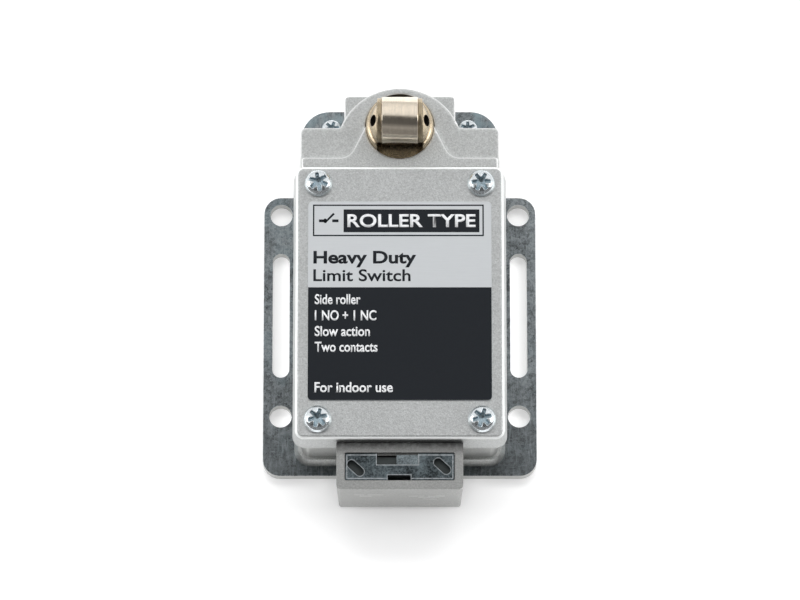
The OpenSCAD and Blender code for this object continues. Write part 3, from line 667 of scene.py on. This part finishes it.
def screw_head(bm, at, base, radius, height, shank_r, shank_l, turn, arms=6, rings=44, around=132):
    """One pan-head screw as a closed skin: star recess, rounded dome, flat underside and shank."""
    rows = []
    reach, half, depth = 0.68 * radius, 0.135 * radius, 0.62 * height
    for i in range(1, rings + 1):
        r = radius * (i / rings) ** 0.9
        row = []
        for k in range(around):
            a = 2 * math.pi * k / around
            x, y = r * math.cos(a), r * math.sin(a)
            z = height * (1 - min(1.0, r / radius) ** 3.4) ** 0.42
            row.append((x, y, max(0.30 * height, z) - star_depth(x, y, arms, reach, half, depth)[0]))
        rows.append(row)
    tip_z = -shank_l - shank_r * 0.5
    circle = [(math.cos(2 * math.pi * k / around), math.sin(2 * math.pi * k / around)) for k in range(around)]
    for r, z in ((radius * 0.985, 0.0), (shank_r, 0.0), (shank_r, -shank_l), (shank_r * 0.6, tip_z)):
        rows.append([(r * x, r * y, z) for x, y in circle])
    c, s_ = math.cos(turn), math.sin(turn)

    def put(x, y, z):
        return bm.verts.new(((at[0] + c * x - s_ * y) * MM, (at[1] + s_ * x + c * y) * MM, (base + z) * MM))

    middle = put(0, 0, height - depth)
    grid = [[put(*p) for p in row] for row in rows]
    for k in range(around):
        j = (k + 1) % around
        bm.faces.new((middle, grid[0][k], grid[0][j])).material_index = 1
    for i in range(len(grid) - 1):
        for k in range(around):
            j = (k + 1) % around
            f = bm.faces.new((grid[i][k], grid[i + 1][k], grid[i + 1][j], grid[i][j]))
            x, y, _ = rows[i][k]
            inside = i < rings and star_depth(x, y, arms, reach, half, depth)[1] > 0.02
            f.material_index = 1 if inside else 0
            f.smooth = True
    end = put(0, 0, tip_z)
    for k in range(around):
        bm.faces.new((end, grid[-1][(k + 1) % around], grid[-1][k]))


def screw_set(node, radius, height, shank_r, turns, cad_radius=None):
    """Detailed screws in the four corners, or the two ends, of a CAD node of screws.

    radius: the head's. cad_radius: that of the CAD node's heads, where it differs.
    """
    lo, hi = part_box(node)
    lo, hi = lo / MM, hi / MM
    pitch = cad_radius or radius
    ys = sorted({round(lo.y + pitch, 2), round(hi.y - pitch, 2)})
    shank = hi.z - height - lo.z
    bm = bmesh.new()
    i = 0
    for x in (lo.x + pitch, hi.x - pitch):
        for y in ys:
            screw_head(bm, (x, y), hi.z - height, radius, height, shank_r, shank - shank_r * 0.5, turns[i])
            i += 1
    bmesh.ops.recalc_face_normals(bm, faces=bm.faces[:])
    o = mesh_object(node + "_detailed", bm)
    finish_piece(o, SCREW, RECESS, body="housing", slot=node)
    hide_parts(node)


screw_set("cover_screws", 4.35, 2.6, 1.79, (0.25, 0.7, 1.3, 0.05), 4.2)
screw_set("ground_screws", 3.45, 2.2, 1.72, (0.2, 0.55))


def spring(name, node, body, axis, centre, radius, wire, turns, low, high):
    """A compression spring with closed ends, from its low end to its high end."""
    around = 10
    per_turn = 28
    steps = int(turns * per_turn)
    rise = high - low - 2 * wire
    lead = 0.8 * per_turn
    path = []
    for i in range(steps + 1):
        # The first and last turns lie almost flat, as on a real spring.
        ends = 0.25 * min(i, lead) - 0.75 * max(0, i - (steps - lead))
        t = (max(0, i - lead) + ends) / (steps - 1.5 * lead)
        a = 2 * math.pi * i / per_turn
        path.append((radius * math.cos(a), radius * math.sin(a), low + wire + rise * min(1.0, t)))
    bm = bmesh.new()
    loops = []
    for i, p in enumerate(path):
        q0, q1 = path[max(0, i - 1)], path[min(len(path) - 1, i + 1)]
        along = (Vector(q1) - Vector(q0)).normalized()
        out = Vector((p[0], p[1], 0)).normalized()
        side = along.cross(out)
        loop = []
        for k in range(around):
            a = 2 * math.pi * k / around
            v = Vector(p) + wire * (math.cos(a) * out + math.sin(a) * side)
            if axis == "Z":
                v = Vector((centre[0] + v.x, centre[1] + v.y, v.z))
            else:
                v = Vector((centre[0] + v.x, v.z, centre[1] - v.y))
            loop.append(bm.verts.new(v * MM))
        loops.append(loop)
    for a, b in zip(loops, loops[1:]):
        for k in range(around):
            bm.faces.new((a[k], a[(k + 1) % around], b[(k + 1) % around], b[k])).smooth = True
    bm.faces.new(loops[0])
    bm.faces.new(loops[-1])
    bmesh.ops.recalc_face_normals(bm, faces=bm.faces[:])
    o = finish_piece(mesh_object(name, bm), SPRING, body=body, slot=node)
    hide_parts(node)
    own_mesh(o)


s_lo, s_hi = (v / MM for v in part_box("plunger_spring"))
spring(
    "plunger_spring_coil", "plunger_spring", "housing", "Z",
    centre=(0, PLUNGER_Y), radius=2.8, wire=0.45, turns=8, low=s_lo.z, high=s_hi.z,
)
r_lo, r_hi = (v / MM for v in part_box("return_spring"))
spring(
    "return_spring_coil", "return_spring", "housing", "Y",
    centre=((r_lo.x + r_hi.x) / 2, (r_lo.z + r_hi.z) / 2), radius=2.3, wire=0.3, turns=5.5, low=r_lo.y, high=r_hi.y,
)

# ---------------------------------------------------------------- raised marks on the receptacle

REC_FACE_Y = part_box("receptacle_housing")[0].y / MM + 0.24
RELIEF_SINK, RELIEF_T = 0.2, 0.34


def raised_bars(name, bars):
    """Plain raised bars on the receptacle's end face: low x, low z, length, height."""
    bm = bmesh.new()
    for x, z, w, h in bars:
        prism(bm, round_corners(x, z, x + w, z + h, [h * 0.45] * 4, 4), 0, RELIEF_T * MM)
    for v in bm.verts:
        v.co = Vector((v.co.x, (REC_FACE_Y + RELIEF_SINK) * MM - v.co.z, v.co.y))
    bmesh.ops.recalc_face_normals(bm, faces=bm.faces[:])
    o = finish_piece(mesh_object(name, bm), CAST_RELIEF, body="housing", slot="receptacle_housing")
    m = o.modifiers.new("bevel", "BEVEL")
    m.width = 0.14 * MM
    m.segments = 2
    m.limit_method = "ANGLE"


raised_bars(
    "relief_left",
    ((-14.6, 22.2, 3.6, 0.9), (-10.4, 22.2, 5.4, 0.9), (-12.8, 20.4, 4.0, 0.8)),
)
raised_bars(
    "relief_right",
    ((2.8, 20.4, 5.0, 0.9), (8.6, 20.4, 5.6, 0.9), (5.6, 18.4, 6.8, 0.8), (7.2, 16.4, 4.6, 0.8)),
)

# ---------------------------------------------------------------- nameplate print

# Places on the nameplate, in millimetres: low x, low y, high x, high y.
FRAME = (-27.5, 18.0, 26.6, 28.4)
FRAME_LINE = 0.45
BAR = (-17.8, 19.3, 25.2, 26.8)
DARK_PANEL = (-28.95, -35.45, 28.95, 1.25)
SHARP = [0.02] * 4
inner = (FRAME[0] + FRAME_LINE, FRAME[1] + FRAME_LINE, FRAME[2] - FRAME_LINE, FRAME[3] - FRAME_LINE)
frame_bars = [
    round_corners(FRAME[0], FRAME[1], FRAME[2], inner[1], SHARP, 1),
    round_corners(FRAME[0], inner[3], FRAME[2], FRAME[3], SHARP, 1),
    round_corners(FRAME[0], inner[1], inner[0], inner[3], SHARP, 1),
    round_corners(inner[2], inner[1], FRAME[2], inner[3], SHARP, 1),
]
printed("print_frame", frame_bars, INK_DARK, "nameplate")
printed("print_bar", [round_corners(*BAR, [0.1] * 4, 2)], INK_DARK, "nameplate")
printed("print_panel", [round_corners(*DARK_PANEL, [1.25, 1.25, 0.05, 0.05])], INK_DARK, "nameplate")
# A plain contact symbol: two terminals and an open lever.
symbol = [
    round_corners(-25.6, 22.6, -23.6, 23.5, [0.1] * 4, 2),
    round_corners(-21.4, 22.6, -19.4, 23.5, [0.1] * 4, 2),
    [(-23.8, 22.75), (-23.2, 22.55), (-20.6, 25.2), (-21.1, 25.7)],
    round_corners(-24.1, 22.3, -23.1, 23.8, [0.45] * 4, 4),
]
printed("print_symbol", symbol, INK_DARK, "nameplate")
lettering("print_title", "ROLLER TYPE", -16.6, 21.1, 4.0, 40.6, INK_LIGHT, "nameplate", 1, 0.022)
lettering("print_line_a", "Heavy Duty", -27.3, 9.2, 3.8, 32.5, INK_DARK, "nameplate", 0, 0.03)
lettering("print_line_b", "Limit Switch", -27.3, 3.35, 3.7, 30.7, INK_DARK, "nameplate", 0, 0.016)
# Words on the dark panel, with the top of each row and its width.
ROWS = (
    ("Side roller", -0.3, 14.4),
    ("1 NO + 1 NC", -5.55, 19.4),
    ("Slow action", -10.7, 17.4),
    ("Two contacts", -15.8, 19.8),
    ("For indoor use", -28.9, 24.6),
)
ROW_X, ROW_DROP, ROW_CAP = -26.8, 3.9, 3.1
for i, (words, top, wide) in enumerate(ROWS):
    lettering("print_row_%d" % i, words, ROW_X, top - ROW_DROP, ROW_CAP, wide, INK_LIGHT, "nameplate", 1, 0.02)

# ---------------------------------------------------------------- floor, light and camera

bm = bmesh.new()
bmesh.ops.create_grid(bm, x_segments=8, y_segments=8, size=6)
floor = mesh_object("floor", bm)
paper = Mat("floor_paper", 0.0, 0.9, (0.80, 0.80, 0.80), specular=0.1)
paper.color(paper.mix(paper.noise(0.02, 3), (0.795, 0.795, 0.795), (0.805, 0.805, 0.805)))
paper.b.inputs["Emission Color"].default_value = (1, 1, 1, 1)
# The paper under the plate glows a little more, so that the plate's holes show it as white.
under = paper.outside((0, -6.8), (38.5, 39.5), 0, 6.0)
paper.link(paper.remap(under, -5.0, 0.5, 0.75, 0.26), paper.b.inputs["Emission Strength"])
floor.data.materials.append(paper.m)

world = bpy.data.worlds.new("studio")
scene.world = world
world.use_nodes = True
wt = world.node_tree
bg = wt.nodes["Background"]
tc = wt.nodes.new("ShaderNodeTexCoord")
sep = wt.nodes.new("ShaderNodeSeparateXYZ")
wt.links.new(tc.outputs["Generated"], sep.inputs[0])
angle = wt.nodes.new("ShaderNodeMath")
angle.operation = "ARCTAN2"
wt.links.new(sep.outputs["Y"], angle.inputs[0])
wt.links.new(sep.outputs["Z"], angle.inputs[1])
turn = wt.nodes.new("ShaderNodeMapRange")
for i, v in zip(("From Min", "From Max", "To Min", "To Max"), (-math.pi / 2, math.pi / 2, 0, 1)):
    turn.inputs[i].default_value = v
wt.links.new(angle.outputs[0], turn.inputs["Value"])
ramp = wt.nodes.new("ShaderNodeValToRGB")
wt.links.new(turn.outputs["Result"], ramp.inputs["Fac"])
wt.links.new(ramp.outputs["Color"], bg.inputs["Color"])


def sky(stops):
    """Sets the sky's radiance from pairs of angle and value.

    The angle is from the zenith in degrees: minus towards the cable end, plus towards the head.
    """
    els = ramp.color_ramp.elements
    while len(els) > 1:
        els.remove(els[-1])
    for i, (deg, v) in enumerate(stops):
        e = els[0] if i == 0 else els.new((deg + 90) / 180)
        if i == 0:
            e.position = (deg + 90) / 180
        e.color = (v, v, v * 1.01, 1)


# Dark round the zenith and bright towards the head, as in a light tent with a camera opening.
sky([
    (-90, 0.24), (-66, 0.24), (-50, 0.36), (-40, 0.22), (-30, 0.11), (0, 0.10),
    (5, 0.14), (13, 1.0), (40, 1.12), (63, 1.05), (90, 0.7),
])
bg.inputs["Strength"].default_value = 0.85


def area(name, loc, size, power, target=(0, 0, 0)):
    """A rectangular light at loc that faces the target, in metres and watts."""
    li = bpy.data.lights.new(name, "AREA")
    li.shape = "RECTANGLE"
    li.size, li.size_y = size
    li.energy = power
    o = bpy.data.objects.new(name, li)
    scene.collection.objects.link(o)
    o.location = loc
    o.rotation_mode = "QUATERNION"
    o.rotation_quaternion = (Vector(target) - Vector(loc)).to_track_quat("-Z", "Y")
    return o


# The two lights above the object don't show in the metal, which mirrors the sky instead.
area("top", (0, -0.25, 1.6), (0.5, 0.5), 7.5).visible_glossy = False
area("key", (0.05, 0.8, 1.4), (1.4, 0.5), 12).visible_glossy = False
area("fill_left", (-1.1, 0.1, 0.75), (0.5, 1.0), 4)
area("fill_right", (1.1, 0.1, 0.75), (0.5, 1.0), 4)

TILT = math.radians(15)
DISTANCE = 1.8
LENS, SENSOR = 252, 36
AIM_UP, AIM_RIGHT = 6.077, 0.064  # how far the aim is from the origin, in millimetres
up = Vector((0, math.cos(TILT), math.sin(TILT)))
back = Vector((0, -math.sin(TILT), math.cos(TILT)))
aim = up * (AIM_UP * MM) + Vector((AIM_RIGHT * MM, 0, 0))
cam_data = bpy.data.cameras.new("camera")
cam = bpy.data.objects.new("camera", cam_data)
scene.collection.objects.link(cam)
cam.location = aim + back * DISTANCE
cam.rotation_mode = "QUATERNION"
cam.rotation_quaternion = (-back).to_track_quat("-Z", "Y")
cam_data.sensor_width = SENSOR
cam_data.lens = LENS
cam_data.clip_start, cam_data.clip_end = 0.05, 50
scene.camera = cam
